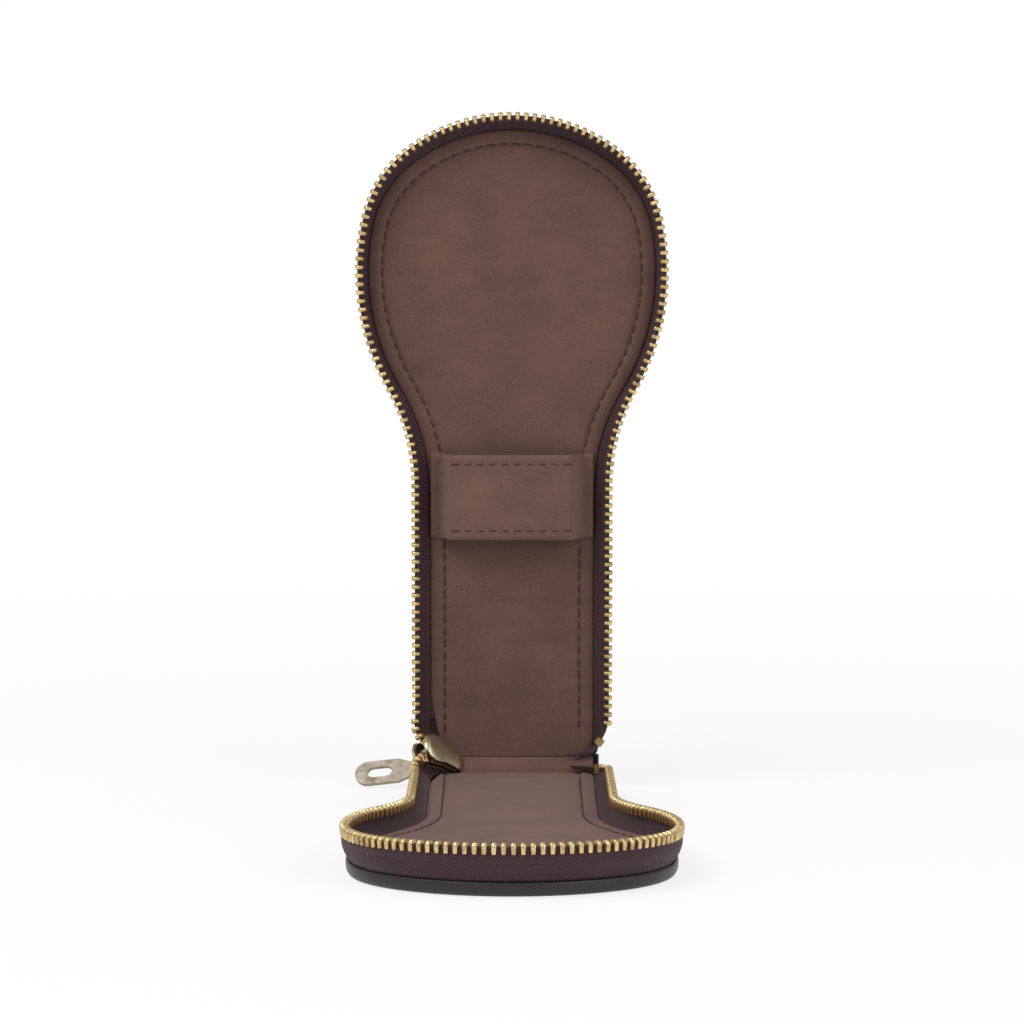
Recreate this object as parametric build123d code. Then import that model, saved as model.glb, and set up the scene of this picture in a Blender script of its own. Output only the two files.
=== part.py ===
from build123d import *
import os
from math import sqrt, hypot, sin, cos, atan2, radians, degrees, pi

# Watch travel case: two padded keyhole-shaped shells of leather, joined by a flexible
# hinge strip at their narrow ends and closed by a metal zip that runs round them.
# It stands open at a right angle: the base shell lies flat, the lid shell stands up.
# Millimetres, +Z up, +X to the right seen from the open side, which faces -Y.
# The origin is the middle of the base's bottom face, on the surface it rests on.

# ---- driving dimensions -------------------------------------------------------------
hinge_y = 80.0            # base crease, behind the origin
rest_fold = 45.0          # fold of each crease at rest, degrees
hinge_width = 5.4         # crease to crease, along the lining

# keyhole outline of the leather covers
cover_stem = 22.0         # half width of the narrow end
cover_head = 37.6         # half width of the round end
cover_top = 159.2         # crease to the round end's far edge
cover_side_r = 59.0       # the round end's side arcs
cover_shoulder_r = 28.8
cover_top_r = 42.7
cover_waist_r = 51.4      # hollow arc between stem and head
cover_corner_r = 3.0      # corners beside the hinge
head_station = 122.3      # where the round end is widest

# keyhole line that the zip's teeth follow
zip_stem = 24.1
zip_head = 37.95
zip_top = 161.0
zip_side_r = 59.4
zip_shoulder_r = 29.2
zip_top_r = 43.1
zip_waist_r = 51.0
zip_corner_r = 10.0
zip_rise_near = 2.7       # zip line above the lining at the hinge
zip_rise_far = 8.15       # and at the far edge

# thicknesses
lining_t = 0.6
foam_t = 0.8
board_t = 1.2
leather_t = 1.4
rim_t = 0.8               # leather turned up round the panel's edge
rim_drop = 0.8            # rim's top below the lining's face
edge_round = 0.9          # leather's outer edge
tape_t = 0.6
fit_gap = 0.1             # between layers' edges
crease_gap = 0.15         # each panel's end to its crease

# zip teeth
tooth_pitch = 2.12
tooth_w = 0.9             # along the zip
tooth_d = 2.0             # across the tape
tooth_reach = 0.5         # past the meeting plane
tooth_leg = 1.6           # leg below the head
tooth_head = 1.2
stop_w = 2.4              # top stops, along the zip
stop_l = 1.1              # bottom stop
layer_gap = 0.01          # teeth to the tape they grip

# zip slider
slider_l = 11.4
slider_tail = 2.2         # half widths
slider_mouth = 3.6
plate_t = 0.9
plate_gap = 1.25          # chain's middle to each plate
slot_gap = 0.5            # half height of the slot for the tape
slider_x = -18.9
slider_b = 3.3            # ahead of the hinge strip's face

# pull tab
tab_l = 21.1
tab_w = 7.0
tab_neck = 4.4
tab_t = 1.0
loop_l = 6.7
loop_arm = 1.0
pin_r = 0.45
pin_room = 0.25           # pin to the bridge's leg
slot_l = 6.3
slot_w = 3.1
tab_rest = 35.0           # from straight out, towards the slider's mouth, degrees
tab_shift = 3.0           # pivot towards the slider's tail
bridge_l = 7.6
bridge_leg = 1.1
bridge_w = 1.6
bridge_t = 1.2
bridge_clear = 1.55
post_l = 2.6              # the wedge that parts the two rows
post_w = 1.3
flange_t = 0.6            # the slider's side lips

# watch band holder
holder_low = 55.5
holder_high = 76.8
holder_half = 20.3
holder_rise = 6.8
holder_crown = 13.0       # half width of its raised flat
holder_foot = 17.8
holder_layer = 0.6
holder_bend = holder_crown + 1.6    # half width where the band turns from rise to crown
holder_round = 2.6        # width of that turn
holder_knee = 0.86        # share of the rise where the turn starts
holder_bow = 0.45         # crown's middle above its edges
holder_flare = 0.2        # how the outer layer widens at the foot
holder_spread = 0.55      # and at the turn
holder_seat = 0.02        # between its layers
holder_row_in = 2.4       # stitch rows from the band's edges
holder_row_end = 3.0      # and from the crown's ends
holder_clear = 1.5        # the lid's seam stops this far from the holder

# stitching
stitch_l = 2.2
stitch_pitch = 3.1
stitch_w = 0.5
stitch_t = 0.25
seam_inset = 3.6
seam_start = 6.0          # first stitch from the crease
seam_clear = 1.5          # stitches to the slider's corner
stitch_lift = 0.04        # of a stitch above a bowed face

panel_t = lining_t + foam_t + board_t + leather_t
corner_s = 9.6            # relief for the slider at each shell's left corner
corner_x = 16.4
hinge_left = 12.9         # the hinge lining's end beside the slider


# ---- keyhole outline ----------------------------------------------------------------
def keyhole(stem, head, top, side_r, shoulder_r, top_r, waist_r, corner_r, station=head_station):
    """Arcs of the right half as (kind, start, middle, end), from the hinge to the top."""
    side = (head - side_r, station)
    crown = (0.0, top - top_r)
    d1 = side_r - shoulder_r
    d2 = top_r - shoulder_r
    dx, dy = crown[0] - side[0], crown[1] - side[1]
    d = hypot(dx, dy)
    along = (d1 * d1 - d2 * d2 + d * d) / (2 * d)
    off = sqrt(d1 * d1 - along * along)
    shoulder = (side[0] + (along * dx - off * dy) / d, side[1] + (along * dy + off * dx) / d)
    waist_x = stem + waist_r
    reach = side_r + waist_r
    waist = (waist_x, station - sqrt(reach ** 2 - (waist_x - side[0]) ** 2))

    def toward(a, b, r):
        g = hypot(b[0] - a[0], b[1] - a[1])
        return (a[0] + (b[0] - a[0]) * r / g, a[1] + (b[1] - a[1]) * r / g)

    corner = (stem - corner_r, corner_r)
    p0 = (corner[0], 0.0)
    p1 = (stem, corner_r)
    p2 = (stem, waist[1])
    p3 = toward(side, waist, side_r)
    p4 = toward(side, shoulder, side_r)
    p5 = toward(crown, shoulder, top_r)
    p6 = (0.0, top)
    half = sqrt(0.5)
    return [
        ("arc", p0, (corner[0] + corner_r * half, corner[1] - corner_r * half), p1, corner, corner_r),
        ("line", p1, None, p2, None, 0),
        ("arc", p2, None, p3, waist, waist_r),
        ("arc", p3, None, p4, side, side_r),
        ("arc", p4, None, p5, shoulder, shoulder_r),
        ("arc", p5, None, p6, crown, top_r),
    ]


def arc_middle(start, end, centre, radius):
    mx, my = (start[0] + end[0]) / 2 - centre[0], (start[1] + end[1]) / 2 - centre[1]
    g = hypot(mx, my)
    return (centre[0] + mx * radius / g, centre[1] + my * radius / g)


def cover_outline(inset=0.0):
    return keyhole(cover_stem - inset, cover_head - inset, cover_top - inset, cover_side_r - inset,
                   cover_shoulder_r - inset, cover_top_r - inset, cover_waist_r + inset,
                   cover_corner_r - min(inset, cover_corner_r - 0.5))


def zip_outline(outset=0.0):
    return keyhole(zip_stem + outset, zip_head + outset, zip_top + outset, zip_side_r + outset,
                   zip_shoulder_r + outset, zip_top_r + outset, zip_waist_r - outset,
                   zip_corner_r + outset)


def outline_wire(half, plane):
    """The closed keyhole wire on a plane whose x is across and whose y runs from the hinge."""
    edges = []
    for side in (1, -1):
        for kind, a, _, b, centre, radius in half:
            start = plane.from_local_coords((side * a[0], a[1]))
            end = plane.from_local_coords((side * b[0], b[1]))
            if kind == "line":
                edges.append(Edge.make_line(start, end))
            else:
                m = arc_middle(a, b, centre, radius)
                middle = plane.from_local_coords((side * m[0], m[1]))
                edges.append(Edge.make_three_point_arc(start, middle, end))
    first = half[0][1]
    edges.append(Edge.make_line(plane.from_local_coords((-first[0], first[1])),
                                plane.from_local_coords((first[0], first[1]))))
    return Wire(edges)


def slab(half, low, high):
    face = Face(outline_wire(half, Plane.XY.offset(low)))
    return extrude(face, amount=high - low, dir=(0, 0, 1))


def block(x0, x1, y0, y1, z0, z1):
    return Pos((x0 + x1) / 2, (y0 + y1) / 2, (z0 + z1) / 2) * Box(x1 - x0, y1 - y0, z1 - z0)


zip_slope = atan2(zip_rise_far - zip_rise_near, zip_top)


def zip_plane(drop=0.0):
    """The plane in which the two rows of teeth meet, in a shell's own frame."""
    normal = Vector(0, -sin(zip_slope), cos(zip_slope))
    origin = Vector(0, 0, zip_rise_near) - normal * drop
    return Plane(origin=origin, x_dir=(1, 0, 0), z_dir=normal)


# ---- points along the zip -----------------------------------------------------------
def path_lengths(half):
    lengths = []
    for kind, a, _, b, centre, radius in half:
        if kind == "line":
            lengths.append(hypot(b[0] - a[0], b[1] - a[1]))
        else:
            chord = hypot(b[0] - a[0], b[1] - a[1])
            lengths.append(2 * radius * abs(asin_safe(chord / (2 * radius))))
    return lengths


def asin_safe(v):
    v = max(-1.0, min(1.0, v))
    return atan2(v, sqrt(1 - v * v))


def half_point(half, distance):
    """(x, s, direction angle) at a distance along the right half, from the hinge."""
    for (kind, a, _, b, centre, radius), length in zip(half, path_lengths(half)):
        if distance <= length + 1e-9 or half[-1][3] == b:
            if kind == "line":
                f = distance / length
                return (a[0] + (b[0] - a[0]) * f, a[1] + (b[1] - a[1]) * f, atan2(b[1] - a[1], b[0] - a[0]))
            a0 = atan2(a[1] - centre[1], a[0] - centre[0])
            a1 = atan2(b[1] - centre[1], b[0] - centre[0])
            turn = 1 if ((a1 - a0 + pi) % (2 * pi) - pi) > 0 else -1
            angle = a0 + turn * distance / radius
            return (centre[0] + radius * cos(angle), centre[1] + radius * sin(angle), angle + turn * pi / 2)
        distance -= length
    raise ValueError("past the top")


def whole_point(half, distance):
    """(x, s, angle) at a distance from the left end over the top to the right end."""
    total = sum(path_lengths(half))
    if distance <= total:
        x, s, angle = half_point(half, distance)
        return (-x, s, pi - angle)
    x, s, angle = half_point(half, 2 * total - distance)
    return (x, s, angle + pi)


def distance_at(half, test):
    """The first distance from the hinge at which test(x, s) holds, on the right half."""
    d = 0.0
    step = 0.02
    while not test(*half_point(half, d)[:2]):
        d += step
    return d


# ---- one shell, in its own frame: x across, y from the crease, z above the lining -----
def corner_relief():
    return block(-45, -corner_x, -2, corner_s, -(lining_t + foam_t), 20)


def make_leather():
    """The cover: a tray whose lower edge is rounded in three steps."""
    wires = []
    for turn in (0, 30, 60, 90):
        inset = edge_round * (1 - sin(radians(turn)))
        rise = edge_round * (1 - cos(radians(turn)))
        wires.append(outline_wire(cover_outline(inset), Plane.XY.offset(-panel_t + rise)))
    wires.append(outline_wire(cover_outline(), Plane.XY.offset(-rim_drop)))
    body = Solid.make_loft(wires, ruled=True)
    body -= slab(cover_outline(rim_t), -panel_t + leather_t, 1)
    body -= block(-50, 50, -5, crease_gap, -10, 10)
    return body - corner_relief()


def make_layer(top, bottom, inset):
    layer = slab(cover_outline(inset), bottom, top)
    layer -= block(-50, 50, -5, crease_gap, -10, 10)
    return layer


tape_inset = rim_t
stack_inset = rim_t + tape_t + fit_gap
foot_low = -(lining_t + foam_t)
tape_drop = tooth_head + tooth_leg - tooth_reach + tape_t / 2 + 0.05  # where the tape turns upright
tape_bend = 0.2                                           # and where it leaves the rim
tape_top = tooth_head - tooth_reach + 0.05                # tape's edge, inside the teeth


def make_tape():
    """The zip tape as the shell's wall: upright in the rim, flared outwards, upright in the teeth."""
    def ring(foot_half, zip_half, lift, spare):
        return Solid.make_loft([
            outline_wire(foot_half, Plane.XY.offset(foot_low - spare)),
            outline_wire(foot_half, Plane.XY.offset(lift - tape_bend)),
            outline_wire(zip_half, zip_plane(tape_drop - lift)),
            outline_wire(zip_half, zip_plane(tape_top - spare))], ruled=True)

    tape = ring(cover_outline(tape_inset), zip_outline(tape_t / 2), -tape_t / 2, 0)
    tape -= ring(cover_outline(tape_inset + tape_t), zip_outline(-tape_t / 2), tape_t / 2, fit_gap)
    open_end = cover_stem - rim_t - tape_t - 0.2
    tape -= block(-open_end, open_end, -5, zip_corner_r, -10, 20)
    tape -= block(-50, 50, -5, crease_gap, -10, 20)
    return tape - corner_relief()


def make_tooth():
    """One tooth: x across the tape, y along the zip, z towards the other row."""
    h = tooth_d / 2
    low = -(tooth_head - tooth_reach + tooth_leg)
    slot = tape_t / 2 + 0.02
    neck = -(tooth_head - tooth_reach)
    outline = Polyline((-h, low), (-h, -0.15), (-0.55, tooth_reach), (0.55, tooth_reach), (h, -0.15),
                       (h, low), (slot, low), (slot, neck), (-slot, neck), (-slot, low), (-h, low))
    return extrude(Plane.XZ * make_face(outline), amount=tooth_w / 2, both=True)


def seat_on_zip(solid, distance):
    x, s, angle = whole_point(zip_outline(), distance)
    plane = zip_plane()
    spot = plane.from_local_coords((x, s))
    along = plane.from_local_coords((x + cos(angle), s + sin(angle))) - spot
    across = along.cross(plane.z_dir)
    return Plane(origin=spot, x_dir=across, z_dir=plane.z_dir).location * solid


def zip_span():
    """Distances from the left end at which the rows' teeth begin and end."""
    half = zip_outline()
    start = distance_at(half, lambda x, s: s > corner_s + 0.8)
    end = 2 * sum(path_lengths(half)) - distance_at(half, lambda x, s: x > cover_stem - rim_t)
    return start, end


def make_teeth(phase):
    start, end = zip_span()
    tooth = make_tooth()
    count = int((end - stop_w - tooth_pitch - start) / tooth_pitch)
    return [seat_on_zip(tooth, start + (i + phase) * tooth_pitch) for i in range(count)]


def make_top_stop():
    """The clamp that ends a row of teeth, beside the hinge on the right."""
    start, end = zip_span()
    h = tooth_d / 2
    low = -(tooth_head - tooth_reach + tooth_leg)
    slot = tape_t / 2 + 0.02
    outline = Polyline((-h, low), (-h, -0.1), (h, -0.1), (h, low), (slot, low),
                       (slot, -(tooth_head - tooth_reach)), (-slot, -(tooth_head - tooth_reach)),
                       (-slot, low), (-h, low))
    stop = extrude(Plane.XZ * make_face(outline), amount=stop_w / 2 - 0.3, both=True)
    return seat_on_zip(stop, end - stop_w / 2)


def make_seam(gap_low, gap_high):
    """Stitches laid on the lining, inside its edge, with none between two distances from the crease."""
    half = cover_outline(stack_inset + seam_inset)
    total = 2 * sum(path_lengths(half))
    first = distance_at(half, lambda x, s: s > seam_start)
    stitch = Pos(0, 0, stitch_t / 2) * Box(stitch_w, stitch_l, stitch_t)
    stitches = []
    d = first
    while d < total - first:
        x, s, angle = whole_point(half, d)
        at_slider = x < -corner_x and s < corner_s + seam_clear
        if not at_slider and not gap_low < s < gap_high:
            stitches.append(Pos(x, s, 0) * Rot(0, 0, degrees(angle) - 90) * stitch)
        d += stitch_pitch
    return stitches


def shell(name, phase, seam):
    """Every layer of one shell. phase shifts its teeth by that share of the pitch."""
    relief = corner_relief()
    return {
        name + "_leather": make_leather(),
        name + "_board": make_layer(-(lining_t + foam_t), -(lining_t + foam_t + board_t), stack_inset),
        name + "_foam": make_layer(-lining_t, -(lining_t + foam_t), stack_inset) - relief,
        name + "_lining": make_layer(0, -lining_t, stack_inset) - relief,
        name + "_zip_tape": make_tape(),
        name + "_zip_teeth": make_teeth(phase),
        name + "_top_stop": make_top_stop(),
        name + "_seam_stitches": seam,
    }


# ---- watch band holder, in the lid's frame ---------------------------------------------
def band_side(lift):
    """The right half of the raised band's section: foot, rise and crown, lifted by so much."""
    return [(holder_half, lift), (holder_foot - lift * holder_flare, lift),
            (holder_bend + lift * holder_spread, holder_rise * holder_knee + lift),
            (holder_bend - holder_round, holder_rise + lift)]


def band_curve(lift):
    """The section's edges from the right foot over the bowed crown to the left foot."""
    right = [Vector(x, 0, z) for x, z in band_side(lift)]
    left = [Vector(-x, 0, z) for x, z in reversed(band_side(lift))]
    top = Vector(0, 0, holder_rise + lift + holder_bow)
    crown = Edge.make_three_point_arc(right[-1], top, left[0])
    rise = [Edge.make_line(a, b) for a, b in zip(right, right[1:])]
    fall = [Edge.make_line(a, b) for a, b in zip(left, left[1:])]
    return rise + [crown] + fall, right[0], left[-1]


def band_layer(low, high):
    """A layer of the holder between two heights above the lining."""
    lower, right_low, left_low = band_curve(low)
    upper, right_high, left_high = band_curve(high)
    ends = [Edge.make_line(right_low, right_high), Edge.make_line(left_low, left_high)]
    face = Face(Wire(lower + upper + ends))
    return Pos(0, holder_low, 0) * extrude(face, amount=holder_high - holder_low, dir=(0, 1, 0))


def make_holder_stitches():
    """Two rows of stitches that follow the bow of the holder's crown."""
    top = holder_rise + 2 * holder_layer + holder_seat + holder_bow + stitch_lift
    reach = holder_crown - holder_row_end
    count = int(2 * reach / stitch_pitch)
    stitch = Pos(0, 0, stitch_t / 2) * Box(stitch_l, stitch_w, stitch_t)
    bow_r = ((holder_bend - holder_round) ** 2 + holder_bow ** 2) / (2 * holder_bow)
    stitches = []
    for s in (holder_low + holder_row_in, holder_high - holder_row_in):
        for i in range(count + 1):
            x = -reach + i * 2 * reach / count
            drop = bow_r - sqrt(bow_r ** 2 - x * x)
            lean = Rot(0, degrees(asin_safe(x / bow_r)), 0)
            stitches.append(Pos(x, s, top - drop) * lean * stitch)
    return stitches


def make_holder():
    return {
        "holder_backing": band_layer(holder_seat, holder_layer),
        "holder_face": band_layer(holder_layer + holder_seat, 2 * holder_layer),
        "holder_stitches": make_holder_stitches(),
    }


# ---- hinge strip and zip slider ----------------------------------------------------------
fold = radians(rest_fold)
crease_low = Vector(0, hinge_y, panel_t)
strip_dir = Vector(0, cos(fold), sin(fold))
strip_out = Vector(0, -sin(fold), cos(fold))
crease_high = crease_low + strip_dir * hinge_width


def strip_frame():
    """x to the right, y from the lid's crease to the base's, z into the case."""
    return Plane(origin=crease_low, x_dir=(1, 0, 0), z_dir=strip_out)


def make_hinge():
    lining_edge = cover_stem - stack_inset
    left = -hinge_left
    z0, y0 = crease_low.Z, crease_low.Y
    z1, y1 = crease_high.Z, crease_high.Y
    strip = Polyline((y0, z0), (y1, z1), (y1 + lining_t, z1), (y0, z0 - lining_t), (y0, z0))
    lining = extrude(Plane.YZ * make_face(strip), amount=lining_edge - left)
    outer = y1 + panel_t - y0
    centre = (y0, z1)
    inner = outer - leather_t
    half = sqrt(0.5)

    def quarter(r):
        return Edge.make_three_point_arc(
            Vector(0, centre[0], centre[1] - r), Vector(0, centre[0] + r * half, centre[1] - r * half),
            Vector(0, centre[0] + r, centre[1]))

    wire = Wire([quarter(outer), quarter(inner),
                 Edge.make_line((0, centre[0], centre[1] - outer), (0, centre[0], centre[1] - inner)),
                 Edge.make_line((0, centre[0] + outer, centre[1]), (0, centre[0] + inner, centre[1]))])
    leather = Pos(-cover_stem, 0, 0) * extrude(Face(wire), amount=2 * cover_stem, dir=(1, 0, 0))
    core = block(left + 0.9, lining_edge - 0.4, 0.5, hinge_width - 0.5, -2.4, -(lining_t + 0.05))
    return {
        "hinge_lining": Pos(left, 0, 0) * lining,
        "hinge_leather": leather,
        "hinge_webbing": strip_frame().location * core,
    }


def slider_frame():
    """x along the slider from tail to mouth, y across the chain, z out of the case."""
    centre = crease_low + strip_dir * (hinge_width / 2) + strip_out * slider_b + Vector(slider_x, 0, 0)
    half = sqrt(0.5)
    axis = Vector(-half, 0, 0) + strip_out * half
    out = Vector(-half, 0, 0) - strip_out * half
    return Plane(origin=centre, x_dir=axis, z_dir=out)


def slider_plate(low, high):
    tail, mouth, h = slider_tail, slider_mouth, slider_l / 2
    edges = [
        Edge.make_line((-h, -tail, low), (-h, tail, low)),
        Edge.make_line((-h, tail, low), (-h * 0.35, tail + 0.15, low)),
        Edge.make_line((-h * 0.35, tail + 0.15, low), (h * 0.45, mouth, low)),
        Edge.make_three_point_arc((h * 0.45, mouth, low), (h, 0, low), (h * 0.45, -mouth, low)),
        Edge.make_line((h * 0.45, -mouth, low), (-h * 0.35, -tail - 0.15, low)),
        Edge.make_line((-h * 0.35, -tail - 0.15, low), (-h, -tail, low)),
    ]
    return extrude(Face(Wire(edges)), amount=high - low, dir=(0, 0, 1))


def make_chain_end():
    """The few meshed teeth inside the slider, in the slider's frame, before the wedge."""
    teeth = []
    tooth_room = (slider_tail - flange_t - fit_gap) / 2
    layer_t = tooth_d / 2 - tape_t / 2 - layer_gap
    first = -slider_l / 2 + tooth_w / 2 + fit_gap
    last = post_start() - tooth_w / 2 - fit_gap
    for side in (1, -1):
        x = first + (0 if side > 0 else tooth_pitch / 2)
        while x < last:
            for layer in (1, -1):
                z = layer * (tape_t / 2 + layer_gap + layer_t / 2)
                tooth = Box(tooth_w, tooth_room - fit_gap, layer_t)
                teeth.append(Pos(x, side * tooth_room / 2, z) * tooth)
            x += tooth_pitch
    return teeth


def post_start():
    return slider_l / 2 * 0.55 - post_l / 2


def make_slider():
    frame = slider_frame().location
    h = slider_l / 2
    inner = slider_plate(-plate_gap - plate_t, -plate_gap)
    outer = slider_plate(plate_gap, plate_gap + plate_t)
    core_space = slider_plate(-plate_gap - 0.01, plate_gap + 0.01)
    core_space = scale(core_space, (1.4, (slider_tail - flange_t) / slider_tail, 1))
    lips = slider_plate(-plate_gap, -slot_gap) + slider_plate(slot_gap, plate_gap)
    lips -= core_space
    post = Pos(post_start() + post_l / 2, 0, 0) * Box(post_l, post_w, 2 * plate_gap + 0.02)
    body = inner + outer + lips + post
    top = plate_gap + plate_t
    middle = bridge_l / 2 - tab_shift - bridge_leg - pin_r - pin_room
    rise = bridge_clear + bridge_t
    opening = Box(bridge_l - 2 * bridge_leg, bridge_w + 1, bridge_clear)
    bridge = Pos(middle, 0, top + rise / 2) * Box(bridge_l, bridge_w, rise)
    bridge -= Pos(middle, 0, top + bridge_clear / 2) * opening
    bridge = fillet(bridge.edges().filter_by(Axis.Y).group_by(Axis.Z)[-1], 0.8)
    tape_end = post_start() - fit_gap
    tape_l = tape_end + h + stop_l + 2 * fit_gap
    chain = Pos(tape_end - tape_l / 2, 0, 0) * Box(tape_l, 2 * slider_tail + 0.2, tape_t)
    stop = Box(stop_l, 2 * (slider_tail - flange_t), tooth_d)
    stop -= Box(stop_l + 1, 2 * slider_tail, tape_t + 2 * layer_gap)
    stop = Pos(-h - fit_gap - stop_l / 2, 0, 0) * stop
    return {
        "slider_body": frame * body,
        "slider_bridge": frame * bridge,
        "zip_end_tape": frame * chain,
        "zip_end_teeth": [frame * t for t in make_chain_end()],
        "bottom_stop": frame * stop,
        "pull_tab": frame * Pos(-tab_shift, 0, pull_axis_height()) * make_tab(),
    }


def pull_axis_height():
    return plate_gap + plate_t + bridge_clear / 2


def make_tab():
    """The pull tab: its axis is y, and it points along z, leaning to +x by tab_rest."""
    half = tab_w / 2
    neck = tab_neck / 2
    top = tab_l - half
    edges = [
        Edge.make_line((0, -neck, 0), (0, neck, 0)),
        Edge.make_line((0, neck, 0), (0, neck, loop_l)),
        Edge.make_line((0, neck, loop_l), (0, half, loop_l + 3.2)),
        Edge.make_line((0, half, loop_l + 3.2), (0, half, top)),
        Edge.make_three_point_arc((0, half, top), (0, 0, tab_l), (0, -half, top)),
        Edge.make_line((0, -half, top), (0, -half, loop_l + 3.2)),
        Edge.make_line((0, -half, loop_l + 3.2), (0, -neck, loop_l)),
        Edge.make_line((0, -neck, loop_l), (0, -neck, 0)),
    ]
    plate = extrude(Face(Wire(edges)), amount=tab_t / 2, both=True, dir=(1, 0, 0))
    plate -= Pos(0, 0, loop_l / 2) * Box(5, tab_neck - 2 * loop_arm, loop_l)
    plate += Rot(90, 0, 0) * Cylinder(pin_r, tab_neck)
    slot_mid = tab_l - 3.2 - slot_l / 2
    hole = Pos(0, 0, slot_mid) * Rot(0, 90, 0) * extrude(SlotOverall(slot_l, slot_w), amount=3, both=True)
    plate -= hole
    return Rot(0, tab_rest, 0) * plate


# ---- assembly ------------------------------------------------------------------------------
def place_base(item):
    """The base's frame has its +x to the left of the case, so the slider's corner is flipped."""
    flat = mirror(item, about=Plane.YZ)
    return Pos(0, hinge_y, panel_t) * Rot(0, 0, 180) * flat


def place_lid(item):
    return Pos(0, crease_high.Y, crease_high.Z) * Rot(90, 0, 0) * item


def write(name, item, place=None):
    solids = []
    for piece in (item if isinstance(item, list) else [item]):
        piece = place(piece) if place else piece
        solids += list(piece.solids())
    shape = solids[0] if len(solids) == 1 else Compound(children=solids)
    shape.label = name
    export_step(shape, os.path.join("parts", name + ".step"))


os.makedirs("parts", exist_ok=True)
for node, item in shell("base", 0.0, make_seam(0, 0)).items():
    write(node, item, place_base)
lid_seam = make_seam(holder_low - holder_clear, holder_high + holder_clear)
for node, item in shell("lid", 0.5, lid_seam).items():
    write(node, item, place_lid)
for node, item in make_holder().items():
    write(node, item, place_lid)
for node, item in make_hinge().items():
    write(node, item)
for node, item in make_slider().items():
    write(node, item)
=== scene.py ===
import math

import bpy
from mathutils import Matrix, Vector


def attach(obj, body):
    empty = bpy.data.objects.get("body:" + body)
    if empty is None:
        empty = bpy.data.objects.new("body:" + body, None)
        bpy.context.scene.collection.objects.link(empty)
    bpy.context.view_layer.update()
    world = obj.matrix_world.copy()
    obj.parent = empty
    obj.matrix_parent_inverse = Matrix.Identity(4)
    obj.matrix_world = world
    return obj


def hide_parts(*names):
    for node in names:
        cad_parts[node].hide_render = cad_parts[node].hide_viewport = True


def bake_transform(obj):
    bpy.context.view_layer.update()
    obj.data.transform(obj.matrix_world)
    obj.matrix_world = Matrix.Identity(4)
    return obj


# Watch travel case, standing open: the base shell lies on the floor with its round end towards
# the camera, the lid shell stands up behind it. Sizes are in millimetres up to the point where a
# vertex is placed, and MM turns them into metres.

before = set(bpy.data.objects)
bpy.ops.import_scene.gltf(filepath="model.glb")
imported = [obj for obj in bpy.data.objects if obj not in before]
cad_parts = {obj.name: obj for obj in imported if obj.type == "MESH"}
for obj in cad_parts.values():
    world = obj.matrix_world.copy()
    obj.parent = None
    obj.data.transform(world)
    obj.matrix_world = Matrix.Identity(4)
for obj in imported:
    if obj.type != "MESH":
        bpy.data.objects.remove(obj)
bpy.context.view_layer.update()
bpy.ops.object.select_all(action="DESELECT")
MM = 0.001

# ---- the case's own measures ------------------------------------------------------------
HINGE_Y = 80.0                  # the base's crease, behind the origin
PANEL = 4.0                     # a shell's thickness, up to its lining
STRIP = 5.4                     # crease to crease, along the hinge strip
R = math.sqrt(0.5)              # cosine and sine of each crease's 45 degree fold at rest
LID_Y = HINGE_Y + STRIP * R
LID_Z = PANEL + STRIP * R
MID_Y = HINGE_Y + STRIP * R / 2
MID_Z = PANEL + STRIP * R / 2
STATION = 122.3
COVER = dict(stem=22.0, head=37.6, top=159.2, side=59.0, shoulder=28.8, crown=42.7, waist=51.4, corner=3.0)
ZIP = dict(stem=24.1, head=37.95, top=161.0, side=59.4, shoulder=29.2, crown=43.1, waist=51.0, corner=10.0)
RISE_NEAR = 2.7
RISE_FAR = 8.15
SLOPE = math.atan2(RISE_FAR - RISE_NEAR, ZIP["top"])
PITCH = 2.12                    # tooth to tooth along the zip
STOP = 2.4                      # top stop's length along the zip
ROW_END_X = 21.2                # where a row ends, beside the hinge on the right
SEAM_PITCH = 3.1                # stitch to stitch
SLIDER_X = -18.9
SLIDER_B = 3.3


# ---- places ---------------------------------------------------------------------------------
def on_base(x, s, h):
    """A point of the base shell: across, from the crease, above the lining."""
    return Vector((x, HINGE_Y - s, PANEL + h)) * MM


def on_lid(x, s, h):
    return Vector((x, LID_Y - h, LID_Z + s)) * MM


def on_spine(x, b, v):
    """A point near the hinge strip: across, into the case, and up the strip."""
    return Vector((x, MID_Y - b * R + v * R, MID_Z + b * R + v * R)) * MM


SHELLS = {"base": on_base, "lid": on_lid}


def towards(a, b, r):
    g = math.hypot(b[0] - a[0], b[1] - a[1])
    return (a[0] + (b[0] - a[0]) * r / g, a[1] + (b[1] - a[1]) * r / g)


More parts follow.
